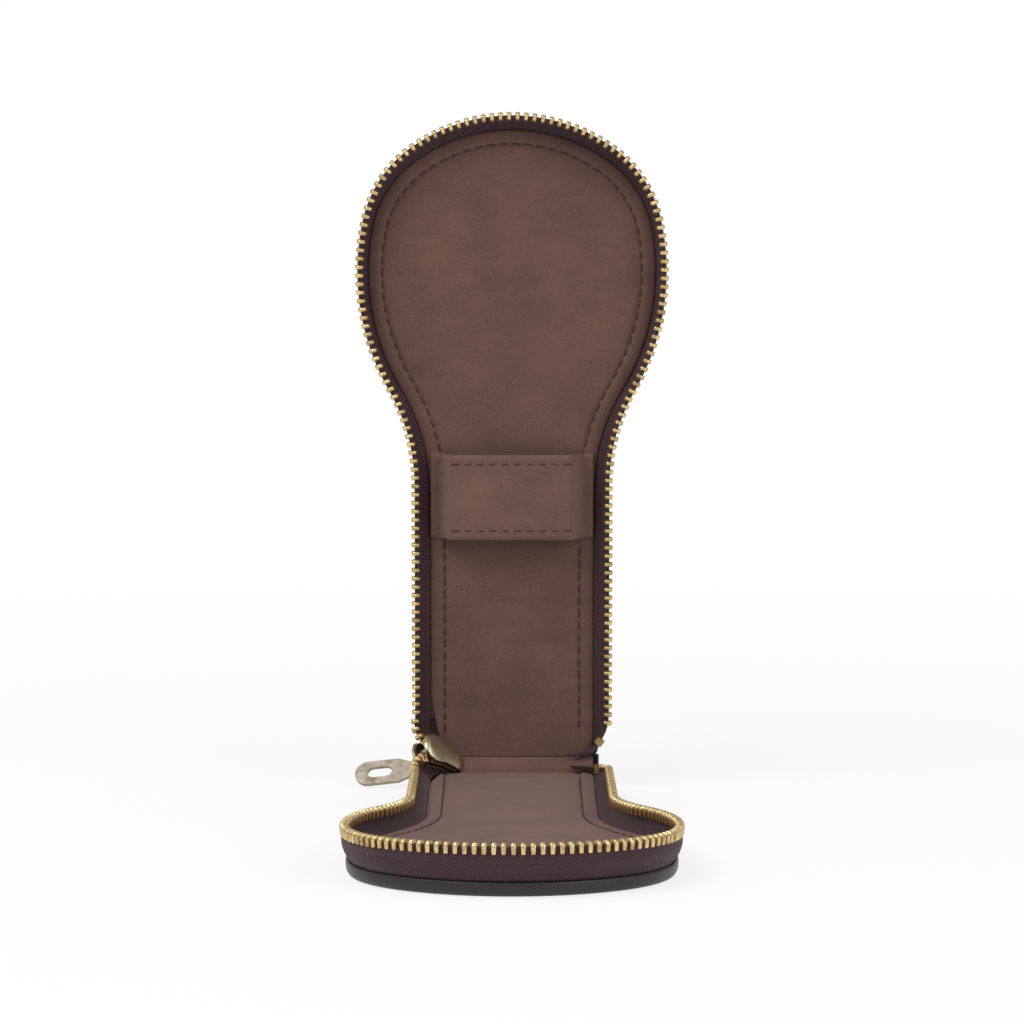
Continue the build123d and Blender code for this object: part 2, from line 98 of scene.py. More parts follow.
def keyhole_arcs(k, out=0.0):
    """The right half's runs from hinge to top: (centre, radius, start angle, end angle) or two ends."""
    stem, head, top = k["stem"] + out, k["head"] + out, k["top"] + out
    side_r, shoulder_r, top_r = k["side"] + out, k["shoulder"] + out, k["crown"] + out
    waist_r = k["waist"] - out
    corner_r = max(k["corner"] + out, 0.05)
    side = (head - side_r, STATION)
    crown = (0.0, top - top_r)
    d1, d2 = side_r - shoulder_r, top_r - shoulder_r
    dx, dy = crown[0] - side[0], crown[1] - side[1]
    d = math.hypot(dx, dy)
    along = (d1 * d1 - d2 * d2 + d * d) / (2 * d)
    off = math.sqrt(d1 * d1 - along * along)
    shoulder = (side[0] + (along * dx - off * dy) / d, side[1] + (along * dy + off * dx) / d)
    waist_x = stem + waist_r
    waist = (waist_x, STATION - math.sqrt((side_r + waist_r) ** 2 - (waist_x - side[0]) ** 2))
    corner = (stem - corner_r, corner_r)
    p2 = (stem, waist[1])
    p3 = towards(side, waist, side_r)
    p4 = towards(side, shoulder, side_r)
    p5 = towards(crown, shoulder, top_r)

    def arc(c, r, a, b):
        a0 = math.atan2(a[1] - c[1], a[0] - c[0])
        a1 = math.atan2(b[1] - c[1], b[0] - c[0])
        turn = (a1 - a0 + math.pi) % (2 * math.pi) - math.pi
        return (c, r, a0, a0 + turn)

    return [
        arc(corner, corner_r, (corner[0], 0.0), (stem, corner_r)),
        ((stem, corner_r), p2),
        arc(waist, waist_r, p2, p3),
        arc(side, side_r, p3, p4),
        arc(shoulder, shoulder_r, p4, p5),
        arc(crown, top_r, p5, (0.0, top)),
    ]


def run_point(run, f):
    """(x, s, outward x, outward s) at a fraction of a run."""
    if len(run) == 2:
        (x0, s0), (x1, s1) = run
        return (x0 + (x1 - x0) * f, s0 + (s1 - s0) * f, 1.0, 0.0)
    (cx, cy), r, a0, a1 = run
    a = a0 + (a1 - a0) * f
    sign = 1 if a1 > a0 else -1
    return (cx + r * math.cos(a), cy + r * math.sin(a), sign * math.cos(a), sign * math.sin(a))


def run_length(run):
    if len(run) == 2:
        return math.hypot(run[1][0] - run[0][0], run[1][1] - run[0][1])
    return run[1] * abs(run[3] - run[2])


RUN_STEPS = (8, 40, 34, 24, 24, 26)


def outline(k, out=0.0):
    """The whole edge from the left hinge corner over the top to the right one."""
    arcs = keyhole_arcs(k, out)
    half = [run_point(run, i / n) for run, n in zip(arcs, RUN_STEPS) for i in range(n)]
    half.append(run_point(arcs[-1], 1.0))
    left = [(-x, s, -nx, ns) for x, s, nx, ns in half]
    return left + half[-2::-1]


def edge_lengths(points):
    total = [0.0]
    for a, b in zip(points, points[1:]):
        total.append(total[-1] + math.hypot(b[0] - a[0], b[1] - a[1]))
    return total


def zip_height(s):
    """Height of the zip's meeting line above the lining at a station."""
    return RISE_NEAR + math.tan(SLOPE) * s


# ---- making pieces ------------------------------------------------------------------------
def lay_grid(name, columns, rows, place, measure):
    """A grid primitive with every point laid at place(i, j). Its UVs are lengths in millimetres."""
    bpy.ops.mesh.primitive_grid_add(x_subdivisions=columns - 1, y_subdivisions=rows - 1, size=1)
    piece = bpy.context.object
    piece.name = piece.data.name = name
    mesh = piece.data
    for index, vertex in enumerate(mesh.vertices):
        vertex.co = place(index % columns, index // columns)
    uv = mesh.uv_layers[0].data
    for loop in mesh.loops:
        i, j = loop.vertex_index % columns, loop.vertex_index // columns
        uv[loop.index].uv = measure(i, j)
    return piece


def edit(piece, *steps):
    """Runs edit-mode steps on a whole piece."""
    bpy.ops.object.select_all(action="DESELECT")
    piece.select_set(True)
    bpy.context.view_layer.objects.active = piece
    bpy.ops.object.mode_set(mode="EDIT")
    bpy.ops.mesh.select_all(action="SELECT")
    for step in steps:
        step()
    bpy.ops.object.mode_set(mode="OBJECT")
    piece.select_set(False)


def flip_faces():
    bpy.ops.mesh.flip_normals()


def merge_close():
    bpy.ops.mesh.remove_doubles(threshold=0.00001)


def apply(piece, kind, **settings):
    """Adds one modifier and applies it."""
    bpy.ops.object.select_all(action="DESELECT")
    piece.select_set(True)
    bpy.context.view_layer.objects.active = piece
    modifier = piece.modifiers.new(kind.title(), kind)
    for key, value in settings.items():
        setattr(modifier, key, value)
    bpy.ops.object.modifier_apply(modifier=modifier.name)
    piece.select_set(False)


def smooth(piece, angle=50):
    bpy.ops.object.select_all(action="DESELECT")
    piece.select_set(True)
    bpy.context.view_layer.objects.active = piece
    bpy.ops.object.shade_smooth_by_angle(angle=math.radians(angle))
    piece.select_set(False)


def finish_piece(piece, material, body=None, stands_for=()):
    piece.data.materials.clear()
    piece.data.materials.append(material)
    if body:
        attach(piece, body)
    if stands_for:
        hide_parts(*stands_for)


def join(pieces, name):
    bpy.ops.object.select_all(action="DESELECT")
    for piece in pieces:
        piece.select_set(True)
    bpy.context.view_layer.objects.active = pieces[0]
    bpy.ops.object.join()
    whole = bpy.context.object
    whole.name = whole.data.name = name
    whole.select_set(False)
    return whole


# ---- materials --------------------------------------------------------------------------------
def node(tree, kind, values=None, **settings):
    made = tree.nodes.new(kind)
    for key, value in settings.items():
        setattr(made, key, value)
    for key, value in (values or {}).items():
        made.inputs[key].default_value = value
    return made


def wire(tree, out, into):
    tree.links.new(out, into)


def effect(name, inputs, outputs):
    """A shader node group with named sockets, returned with its two end nodes."""
    group = bpy.data.node_groups.new(name, "ShaderNodeTree")
    for label, kind, value in inputs:
        socket = group.interface.new_socket(name=label, in_out="INPUT", socket_type=kind)
        if value is not None:
            socket.default_value = value
    for label, kind in outputs:
        group.interface.new_socket(name=label, in_out="OUTPUT", socket_type=kind)
    return group, group.nodes.new("NodeGroupInput"), group.nodes.new("NodeGroupOutput")


def math_node(tree, operation, a, b=None, c=None, clamp=False):
    made = tree.nodes.new("ShaderNodeMath")
    made.operation = operation
    made.use_clamp = clamp
    for slot, value in enumerate((a, b, c)):
        if value is None:
            continue
        if hasattr(value, "links"):
            wire(tree, value, made.inputs[slot])
        else:
            made.inputs[slot].default_value = value
    return made.outputs[0]


def mix_colour(tree, factor, a, b, blend="MIX"):
    made = tree.nodes.new("ShaderNodeMix")
    made.data_type = "RGBA"
    made.blend_type = blend
    for socket, value in ((made.inputs[0], factor), (made.inputs[6], a), (made.inputs[7], b)):
        if hasattr(value, "links"):
            wire(tree, value, socket)
        else:
            socket.default_value = value
    return made.outputs[2]


def make_nap():
    """Short suede nap: cloudy patches where it lies differently, and fine fibres."""
    group, start, end = effect(
        "suede_nap",
        [("Vector", "NodeSocketVector", None), ("Colour", "NodeSocketColor", (0.1, 0.06, 0.05, 1)),
         ("Patches", "NodeSocketFloat", 0.3), ("Fibres", "NodeSocketFloat", 0.4)],
        [("Colour", "NodeSocketColor"), ("Height", "NodeSocketFloat")])
    patch = node(group, "ShaderNodeTexNoise", {"Scale": 75.0, "Detail": 4.0, "Roughness": 0.6})
    streak_map = node(group, "ShaderNodeMapping", {"Scale": (0.35, 1.6, 1.0)})
    streak = node(group, "ShaderNodeTexNoise", {"Scale": 260.0, "Detail": 3.0, "Roughness": 0.6})
    fibre = node(group, "ShaderNodeTexNoise", {"Scale": 2300.0, "Detail": 2.0, "Roughness": 0.7})
    fleck = node(group, "ShaderNodeTexVoronoi", {"Scale": 900.0})
    for texture in (patch, fibre, fleck):
        wire(group, start.outputs["Vector"], texture.inputs["Vector"])
    wire(group, start.outputs["Vector"], streak_map.inputs["Vector"])
    wire(group, streak_map.outputs[0], streak.inputs["Vector"])
    streaks = math_node(group, "MULTIPLY", streak.outputs["Fac"], 0.55)
    clouds = math_node(group, "ADD", patch.outputs["Fac"], streaks)
    clouds = math_node(group, "SUBTRACT", clouds, 0.78)
    clouds = math_node(group, "MULTIPLY", clouds, start.outputs["Patches"])
    grain = math_node(group, "SUBTRACT", fibre.outputs["Fac"], 0.5)
    grain = math_node(group, "MULTIPLY", grain, start.outputs["Fibres"])
    speck = math_node(group, "LESS_THAN", fleck.outputs["Distance"], 0.12)
    speck = math_node(group, "MULTIPLY", speck, 0.10)
    level = math_node(group, "ADD", math_node(group, "ADD", clouds, grain), speck)
    level = math_node(group, "ADD", level, 1.0)
    tone = node(group, "ShaderNodeVectorMath", operation="SCALE")
    wire(group, start.outputs["Colour"], tone.inputs[0])
    wire(group, level, tone.inputs["Scale"])
    wire(group, tone.outputs[0], end.inputs["Colour"])
    wire(group, math_node(group, "ADD", fibre.outputs["Fac"], clouds), end.inputs["Height"])
    return group


def make_pebble():
    """Fine leather grain: pebbles with shallow creases between them."""
    group, start, end = effect(
        "leather_pebble",
        [("Vector", "NodeSocketVector", None), ("Scale", "NodeSocketFloat", 1400.0)],
        [("Height", "NodeSocketFloat"), ("Worn", "NodeSocketFloat")])
    warp = node(group, "ShaderNodeTexNoise", {"Scale": 420.0, "Detail": 3.0})
    pebble = node(group, "ShaderNodeTexVoronoi", feature="DISTANCE_TO_EDGE")
    broad = node(group, "ShaderNodeTexNoise", {"Scale": 60.0, "Detail": 5.0, "Roughness": 0.65})
    shift = node(group, "ShaderNodeVectorMath", operation="MULTIPLY_ADD")
    shift.inputs[1].default_value = (0.0009, 0.0009, 0.0009)
    wire(group, start.outputs["Vector"], warp.inputs["Vector"])
    wire(group, start.outputs["Vector"], broad.inputs["Vector"])
    wire(group, warp.outputs["Color"], shift.inputs[0])
    wire(group, start.outputs["Vector"], shift.inputs[2])
    wire(group, shift.outputs[0], pebble.inputs["Vector"])
    wire(group, start.outputs["Scale"], pebble.inputs["Scale"])
    crease = node(group, "ShaderNodeMapRange", {"From Min": 0.0, "From Max": 0.22})
    crease.interpolation_type = "SMOOTHSTEP"
    wire(group, pebble.outputs["Distance"], crease.inputs["Value"])
    wire(group, crease.outputs[0], end.inputs["Height"])
    wire(group, broad.outputs["Fac"], end.inputs["Worn"])
    return group


def make_tarnish():
    """Uneven tarnish on metal, darker in cloudy spots, with fine scratches."""
    group, start, end = effect(
        "metal_tarnish",
        [("Vector", "NodeSocketVector", None), ("Bright", "NodeSocketColor", (0.8, 0.6, 0.3, 1)),
         ("Dull", "NodeSocketColor", (0.3, 0.2, 0.1, 1)), ("Spread", "NodeSocketFloat", 0.5),
         ("Polish", "NodeSocketFloat", 0.25)],
        [("Colour", "NodeSocketColor"), ("Roughness", "NodeSocketFloat"), ("Height", "NodeSocketFloat")])
    cloud = node(group, "ShaderNodeTexNoise", {"Scale": 380.0, "Detail": 5.0, "Roughness": 0.65})
    scratch_map = node(group, "ShaderNodeMapping", {"Scale": (1.0, 1.0, 9.0), "Rotation": (0.6, 0.5, 0.0)})
    scratch = node(group, "ShaderNodeTexNoise", {"Scale": 900.0, "Detail": 2.0})
    wire(group, start.outputs["Vector"], cloud.inputs["Vector"])
    wire(group, start.outputs["Vector"], scratch_map.inputs["Vector"])
    wire(group, scratch_map.outputs[0], scratch.inputs["Vector"])
    mask = node(group, "ShaderNodeMapRange", {"From Min": 0.42, "From Max": 0.68})
    wire(group, cloud.outputs["Fac"], mask.inputs["Value"])
    amount = math_node(group, "MULTIPLY", mask.outputs[0], start.outputs["Spread"], clamp=True)
    tone = mix_colour(group, amount, start.outputs["Bright"], start.outputs["Dull"])
    wire(group, tone, end.inputs["Colour"])
    rough = math_node(group, "MULTIPLY_ADD", amount, 0.3, start.outputs["Polish"])
    rough = math_node(group, "MULTIPLY_ADD", scratch.outputs["Fac"], 0.08, rough)
    wire(group, rough, end.inputs["Roughness"])
    wire(group, scratch.outputs["Fac"], end.inputs["Height"])
    return group


def make_herringbone():
    """Zip tape's weave from a UV in millimetres: bands along the tape, ribs slanted by turns."""
    group, start, end = effect(
        "herringbone_weave",
        [("UV", "NodeSocketVector", None), ("Band", "NodeSocketFloat", 2.3),
         ("Rib", "NodeSocketFloat", 0.85)],
        [("Rib", "NodeSocketFloat"), ("Seam", "NodeSocketFloat")])
    parts = node(group, "ShaderNodeSeparateXYZ")
    wire(group, start.outputs["UV"], parts.inputs[0])
    fold = math_node(group, "PINGPONG", parts.outputs["Y"], start.outputs["Band"])
    slant = math_node(group, "MULTIPLY_ADD", fold, 0.75, parts.outputs["X"])
    turn = math_node(group, "DIVIDE", slant, start.outputs["Rib"])
    wave = math_node(group, "SINE", math_node(group, "MULTIPLY", turn, 2 * math.pi))
    wire(group, math_node(group, "MULTIPLY_ADD", wave, 0.5, 0.5), end.inputs["Rib"])
    rest = math_node(group, "DIVIDE", fold, start.outputs["Band"])
    centre = math_node(group, "ABSOLUTE", math_node(group, "SUBTRACT", rest, 0.5))
    wire(group, math_node(group, "GREATER_THAN", centre, 0.46), end.inputs["Seam"])
    return group


NAP = make_nap()
PEBBLE = make_pebble()
TARNISH = make_tarnish()
HERRINGBONE = make_herringbone()


def placed(tree, group, **values):
    made = tree.nodes.new("ShaderNodeGroup")
    made.node_tree = group
    for key, value in values.items():
        made.inputs[key].default_value = value
    return made


def surface(name, **sockets):
    """A material with its Principled shader and the piece's own coordinates."""
    material = bpy.data.materials.new(name)
    material.use_nodes = True
    tree = material.node_tree
    shader = tree.nodes["Principled BSDF"]
    for key, value in sockets.items():
        shader.inputs[key.replace("_", " ")].default_value = value
    coordinates = tree.nodes.new("ShaderNodeTexCoord")
    return material, tree, shader, coordinates


def raise_bump(tree, shader, height, distance, strength=1.0):
    bump = node(tree, "ShaderNodeBump", {"Strength": strength, "Distance": distance})
    wire(tree, height, bump.inputs["Height"])
    wire(tree, bump.outputs[0], shader.inputs["Normal"])
    return bump


def suede(name, colour, patches=0.35, fibres=0.55):
    material, tree, shader, where = surface(
        name, Roughness=0.95, Specular_IOR_Level=0.15,
        Sheen_Weight=0.25, Sheen_Roughness=0.5, Sheen_Tint=(0.75, 0.6, 0.55, 1))
    nap = placed(tree, NAP, Colour=colour, Patches=patches, Fibres=fibres)
    wire(tree, where.outputs["Object"], nap.inputs["Vector"])
    wire(tree, nap.outputs["Colour"], shader.inputs["Base Color"])
    raise_bump(tree, shader, nap.outputs["Height"], 0.00008, 0.6)
    return material


def leather(name, colour, glossy):
    material, tree, shader, where = surface(
        name, Specular_IOR_Level=0.5, Coat_Weight=0.06, Coat_Roughness=0.35)
    grain = placed(tree, PEBBLE, Scale=1500.0)
    wire(tree, where.outputs["Object"], grain.inputs["Vector"])
    dark = tuple(v * 0.62 for v in colour[:3]) + (1,)
    worn = math_node(tree, "MULTIPLY_ADD", grain.outputs["Worn"], 1.4, -0.2, clamp=True)
    tone = mix_colour(tree, worn, dark, colour)
    # The creases between the pebbles are painted darker here: painted shade in the grain's creases, on top
    # of their bump.
    tone = mix_colour(tree, grain.outputs["Height"], dark, tone)
    wire(tree, tone, shader.inputs["Base Color"])
    rough = math_node(tree, "MULTIPLY_ADD", grain.outputs["Worn"], -0.16, glossy + 0.1)
    wire(tree, rough, shader.inputs["Roughness"])
    raise_bump(tree, shader, grain.outputs["Height"], 0.00005, 0.7)
    return material


def woven_tape(name, light, dark):
    material, tree, shader, where = surface(name, Roughness=0.78, Specular_IOR_Level=0.3,
                                            Sheen_Weight=0.15, Sheen_Roughness=0.4)
    weave = placed(tree, HERRINGBONE)
    wire(tree, where.outputs["UV"], weave.inputs["UV"])
    fuzz = node(tree, "ShaderNodeTexNoise", {"Scale": 1900.0, "Detail": 2.0})
    wire(tree, where.outputs["Object"], fuzz.inputs["Vector"])
    rib = math_node(tree, "MULTIPLY", weave.outputs["Rib"], 0.75)
    seam = math_node(tree, "MULTIPLY", weave.outputs["Seam"], 0.3)
    depth = math_node(tree, "MULTIPLY_ADD", fuzz.outputs["Fac"], 0.5, rib)
    depth = math_node(tree, "SUBTRACT", depth, seam, clamp=True)
    wire(tree, mix_colour(tree, depth, dark, light), shader.inputs["Base Color"])
    raise_bump(tree, shader, depth, 0.00018, 0.8)
    return material


def metal(name, bright, dull, spread, polish):
    material, tree, shader, where = surface(name, Metallic=1.0)
    tarnish = placed(tree, TARNISH, Bright=bright, Dull=dull, Spread=spread, Polish=polish)
    wire(tree, where.outputs["Object"], tarnish.inputs["Vector"])
    wire(tree, tarnish.outputs["Colour"], shader.inputs["Base Color"])
    wire(tree, tarnish.outputs["Roughness"], shader.inputs["Roughness"])
    raise_bump(tree, shader, tarnish.outputs["Height"], 0.00001, 0.5)
    return material


def stitched(name, colour):
    material, tree, shader, where = surface(name, Roughness=0.7, Specular_IOR_Level=0.3)
    twist = node(tree, "ShaderNodeTexNoise", {"Scale": 2600.0, "Detail": 1.0})
    wire(tree, where.outputs["Object"], twist.inputs["Vector"])
    dark = tuple(v * 0.5 for v in colour[:3]) + (1,)
    wire(tree, mix_colour(tree, twist.outputs["Fac"], dark, colour), shader.inputs["Base Color"])
    raise_bump(tree, shader, twist.outputs["Fac"], 0.00005)
    return material


LINING = suede("suede_lining", (0.134, 0.073, 0.059, 1), 0.6, 0.6)
BAND = suede("suede_band", (0.150, 0.084, 0.068, 1), 0.5, 0.65)
HIDE = leather("cover_leather", (0.016, 0.012, 0.0125, 1), 0.40)
TAPE = woven_tape("zip_tape_weave", (0.078, 0.036, 0.043, 1), (0.022, 0.010, 0.013, 1))
BRASS = metal("tooth_brass", (0.80, 0.60, 0.30, 1), (0.24, 0.15, 0.06, 1), 0.7, 0.26)
OLD_BRASS = metal("antique_brass", (0.62, 0.52, 0.36, 1), (0.20, 0.16, 0.11, 1), 0.65, 0.30)
TAB_METAL = metal("pull_tab_metal", (0.36, 0.315, 0.255, 1), (0.16, 0.13, 0.10, 1), 0.6, 0.36)
THREAD = stitched("brown_thread", (0.085, 0.048, 0.042, 1))
INNER = stitched("inner_board", (0.08, 0.06, 0.05, 1))


# ---- camera ----------------------------------------------------------------------------------
camera_data = bpy.data.cameras.new("camera")
camera = bpy.data.objects.new("camera", camera_data)
bpy.context.scene.collection.objects.link(camera)
camera.location = (0.0, (HINGE_Y - 1190.0) * MM, 0.180)
camera.rotation_euler = (math.radians(90 - 5.28), 0.0, 0.0)
camera_data.lens = 167.7
camera_data.sensor_width = 36.0
camera_data.clip_start = 0.05
camera_data.clip_end = 30.0
bpy.context.scene.camera = camera

# ---- suede lining panels -----------------------------------------------------------------------
LINING_INSET = 1.5
MEDIAL_TOP = 117.0
STITCH_LINE = 3.6


def medial(x, s):
    return (0.0, min(max(s, 0.0), MEDIAL_TOP))


def lining_height(d):
    """Height of the suede at a distance in from its edge: rolled edge, soft crown, sunk seam."""
    roll = 0.9
    if d < roll:
        return -0.9 + math.sqrt(max(roll * roll - (roll - d) ** 2, 0.0)) * (0.9 / roll)
    puff = 0.22 * math.sin(math.pi * min((d - roll) / (STITCH_LINE - roll), 1.0)) if d < STITCH_LINE else 0.0
    seam = -0.30 * math.exp(-((d - STITCH_LINE) / 0.45) ** 2)
    inner = 0.14 * (1 - math.exp(-((d - STITCH_LINE) / 3.0) ** 2)) if d > STITCH_LINE else 0.0
    return puff + seam + inner


LINING_ROWS = [0.0, 0.1, 0.3, 0.6, 0.9, 1.4, 2.0, 2.6, 3.0, 3.25, 3.45, 3.6, 3.75, 3.95, 4.25, 4.8, 5.6, 6.8]
LINING_FAN = [0.9, 0.78, 0.64, 0.5, 0.36, 0.22, 0.1, 0.0]


def corner_trim(x, s):
    """The lining's left hinge corner is cut back for the slider."""
    if x >= 0 or s > 16.0:
        return x
    edge = -17.6 - (20.6 - 17.6) * max(s - 1.0, 0.0) / 15.0
    return max(x, edge)


def make_lining(shell):
    place = SHELLS[shell]
    rings = [outline(COVER, -LINING_INSET - d) for d in LINING_ROWS]
    columns = len(rings[0])
    last = rings[-1]
    lengths = edge_lengths(rings[0])

    def point(i, j):
        if j < len(rings):
            x, s = rings[j][i][:2]
            d = LINING_ROWS[j]
        else:
            t = LINING_FAN[j - len(rings)]
            x0, s0 = last[i][:2]
            mx, ms = medial(x0, s0)
            x, s = mx + (x0 - mx) * t, ms + (s0 - ms) * t
            d = 8.0
        wander = 0.10 * math.sin(x * 0.21 + 0.7) * math.sin(s * 0.13 + 0.4) if d > 4 else 0.0
        return place(corner_trim(x, s), s, lining_height(d) + wander)

    rows = len(rings) + len(LINING_FAN)
    piece = lay_grid(shell + "_suede_panel", columns, rows, point, lambda i, j: (lengths[i], j))
    edit(piece, merge_close, *([flip_faces] if shell == "lid" else []))
    apply(piece, "SOLIDIFY", thickness=0.5 * MM, offset=-1.0)
    smooth(piece, 60)
    finish_piece(piece, LINING, shell, (shell + "_lining",))
    return piece


# ---- leather covers --------------------------------------------------------------------------
# The cover's edge in section: how far in from the outline, and the height above the lining.
COVER_PROFILE = [(0.95, -1.3), (0.9, -0.95), (0.7, -0.72), (0.42, -0.62), (0.15, -0.7), (0.0, -0.95),
                 (-0.06, -1.4), (-0.06, -2.0), (-0.02, -2.6), (0.1, -3.1), (0.35, -3.52), (0.72, -3.8),
                 (1.2, -3.94), (1.9, -3.99), (3.0, -4.0), (4.6, -4.0), (6.6, -4.0)]
# Shares of the way out from the middle line at which the back's rings lie.
COVER_FAN = [0.85, 0.66, 0.45, 0.25, 0.1, 0.0]


def make_cover(shell):
    place = SHELLS[shell]
    rings = [outline(COVER, -d) for d, _ in COVER_PROFILE]
    lengths = edge_lengths(rings[0])
    last = rings[-1]

    def point(i, j):
        if j < len(rings):
            x, s = rings[j][i][:2]
            return place(x, s, COVER_PROFILE[j][1])
        t = COVER_FAN[j - len(rings)]
        x0, s0 = last[i][:2]
        mx, ms = medial(x0, s0)
        return place(mx + (x0 - mx) * t, ms + (s0 - ms) * t, -4.0)

    piece = lay_grid(shell + "_leather_cover", len(rings[0]), len(rings) + len(COVER_FAN), point,
                     lambda i, j: (lengths[i], j))
    edit(piece, merge_close, *([flip_faces] if shell == "base" else []))
    apply(piece, "SOLIDIFY", thickness=0.7 * MM, offset=-1.0)
    smooth(piece, 60)
    finish_piece(piece, HIDE, shell, (shell + "_leather",))
    return piece


# ---- zip tapes ---------------------------------------------------------------------------------
TAPE_ROWS = 16
LEAD_S = 10.4                   # from the crease, where the rows leave for the slider


def tape_point(i, f, foot, line, bulge):
    """A point of the tape's outer face: f runs from the rim up to the teeth."""
    fx, fs, fnx, fns = foot[i]
    zx, zs, znx, zns = line[i]
    x, s = fx + (zx - fx) * f, fs + (zs - fs) * f
    nx, ns = fnx + (znx - fnx) * f, fns + (zns - fns) * f
    g = math.hypot(nx, ns) or 1.0
    swell = bulge * math.sin(math.pi * min(f / 0.92, 1.0)) ** 0.8
    top = zip_height(zs) - 0.72
    h = -1.0 + (top + 1.0) * f
    return x + nx / g * swell, s + ns / g * swell, h


def make_tape(shell):
    place = SHELLS[shell]
    foot = outline(COVER, -0.95)
    line = outline(ZIP, 0.30)
    lengths = edge_lengths(line)
    keep = [i for i, p in enumerate(line) if not (p[0] < 0 and p[1] < LEAD_S - 0.6)]

    def bulge_at(i):
        s = line[i][1]
        return 0.15 + 1.0 * min(max((s - 25.0) / 60.0, 0.0), 1.0)

    def point(i, j):
        f = j / (TAPE_ROWS - 1)
        x, s, h = tape_point(keep[i], f, foot, line, bulge_at(keep[i]))
        spread = min(1.0, f / 0.12)
        x0, s0 = foot[keep[i]][:2]
        return place(x0 + (x - x0) * spread, max(s0 + (s - s0) * spread, 0.2), h)

    def measure(i, j):
        s = line[keep[i]][1]
        high = zip_height(s) + 0.3
        return (lengths[keep[i]], j / (TAPE_ROWS - 1) * high)

    piece = lay_grid(shell + "_tape_wall", len(keep), TAPE_ROWS, point, measure)
    if shell == "lid":
        edit(piece, flip_faces)
    apply(piece, "SOLIDIFY", thickness=0.6 * MM, offset=-1.0)
    smooth(piece, 60)
    finish_piece(piece, TAPE, shell, (shell + "_zip_tape",))
    return piece


# ---- zip teeth -----------------------------------------------------------------------------------
def make_tooth():
    """One tooth, standing on the origin: x across the tape, y along the zip, z to the other row."""
    bpy.ops.mesh.primitive_cube_add(size=1)
    tooth = bpy.context.object
    tooth.name = "tooth"
    for vertex in tooth.data.vertices:
        vertex.co.x *= 2.1
        vertex.co.y *= 1.22
        vertex.co.z = vertex.co.z * 2.7 - 0.95
    bpy.ops.object.mode_set(mode="EDIT")
    bpy.ops.mesh.select_all(action="SELECT")
    bpy.ops.mesh.bisect(plane_co=(0, 0, -0.35), plane_no=(0, 0, 1))
    bpy.ops.object.mode_set(mode="OBJECT")
    for vertex in tooth.data.vertices:
        if vertex.co.z > 0:
            vertex.co.x *= 0.58
            vertex.co.y *= 0.62
        elif vertex.co.z < -1.5:
            vertex.co.x *= 0.92
            vertex.co.y *= 0.82
        else:
            vertex.co.x *= 1.08
    apply(tooth, "BEVEL", width=0.24, segments=2, limit_method="NONE")
    for vertex in tooth.data.vertices:
        vertex.co *= MM
    return tooth


def zip_run():
    """Distances along the left half of the zip line, and the whole line's length."""
    arcs = keyhole_arcs(ZIP)
    return arcs, sum(run_length(run) for run in arcs)


def zip_spot(distance):
    """(x, s, along x, along s) at a distance from the left hinge corner over the top."""
    arcs, half = zip_run()
    left = distance <= half
    d = distance if left else 2 * half - distance
    for run in arcs:
        g = run_length(run)
        if d <= g or run is arcs[-1]:
            x, s, nx, ns = run_point(run, min(d / g, 1.0))
            break
        d -= g
    return (-x, s, ns, nx) if left else (x, s, ns, -nx)


def tooth_frame(place, distance):
    x, s, ax, a_s = zip_spot(distance)
    h = zip_height(s)
    slope = math.tan(SLOPE)
    spot = place(x, s, h)
    ahead = place(x + ax, s + a_s, h + slope * a_s) - spot
    along = ahead.normalized()
    up = (place(x, s - slope, h + 1.0) - spot).normalized()
    across = along.cross(up).normalized()
    rows = Matrix((across, along, up)).transposed().to_4x4()
    return Matrix.Translation(spot) @ rows


def copy_of(piece, matrix, name):
    twin = bpy.data.objects.new(name, piece.data.copy())
    bpy.context.scene.collection.objects.link(twin)
    twin.data.transform(matrix)
    return twin


def teeth_span():
    """Where the CAD rows begin on the left and how many teeth each has."""
    half = zip_run()[1]
    d = 0.0
    while zip_spot(d)[1] <= LEAD_S:
        d += 0.02
    start = d
    d = 0.0
    while not zip_spot(d)[0] < -ROW_END_X:
        d += 0.02
    end = 2 * half - d
    return start, end


TOOTH = make_tooth()
FIRST, LAST = teeth_span()


def make_teeth(shell, phase):
    place = SHELLS[shell]
    count = int((LAST - STOP - PITCH - FIRST) / PITCH)
    frames = [tooth_frame(place, FIRST + (i + phase) * PITCH) for i in range(count)]
    teeth = [copy_of(TOOTH, matrix, "tooth_copy") for matrix in frames]
    row = join(teeth, shell + "_tooth_row")
    smooth(row, 40)
    finish_piece(row, BRASS, shell, (shell + "_zip_teeth",))


# ---- hinge skins ------------------------------------------------------------------------------
def make_hinge_lining():
    """The suede over the fold, in two halves that meet at the strip's middle."""
    def profile(f):
        """Across the fold from the base's crease (0) to the lid's (1), with its ends rolled in."""
        v = (f - 0.5) * STRIP
        dip = 0.16 * math.exp(-((abs(v) - STRIP / 2) / 0.5) ** 2)
        return v, 0.22 * math.cos(math.pi * (f - 0.5)) - dip - 0.05

    for name, low, high in (("fold_lining_low", 0.0, 0.5), ("fold_lining_high", 0.5, 1.0)):
        def point(i, j):
            f = low + (high - low) * j / 8
            v, rise = profile(f)
            x = -13.0 + (20.4 + 13.0) * i / 40
            return on_spine(x, rise, v)

        piece = lay_grid(name, 41, 9, point, lambda i, j: (i, j))
        apply(piece, "SOLIDIFY", thickness=0.5 * MM, offset=-1.0)
        smooth(piece, 60)
        finish_piece(piece, LINING)
        if name == "fold_lining_low":
            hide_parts("hinge_lining")
            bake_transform(piece)
        else:
            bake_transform(piece)


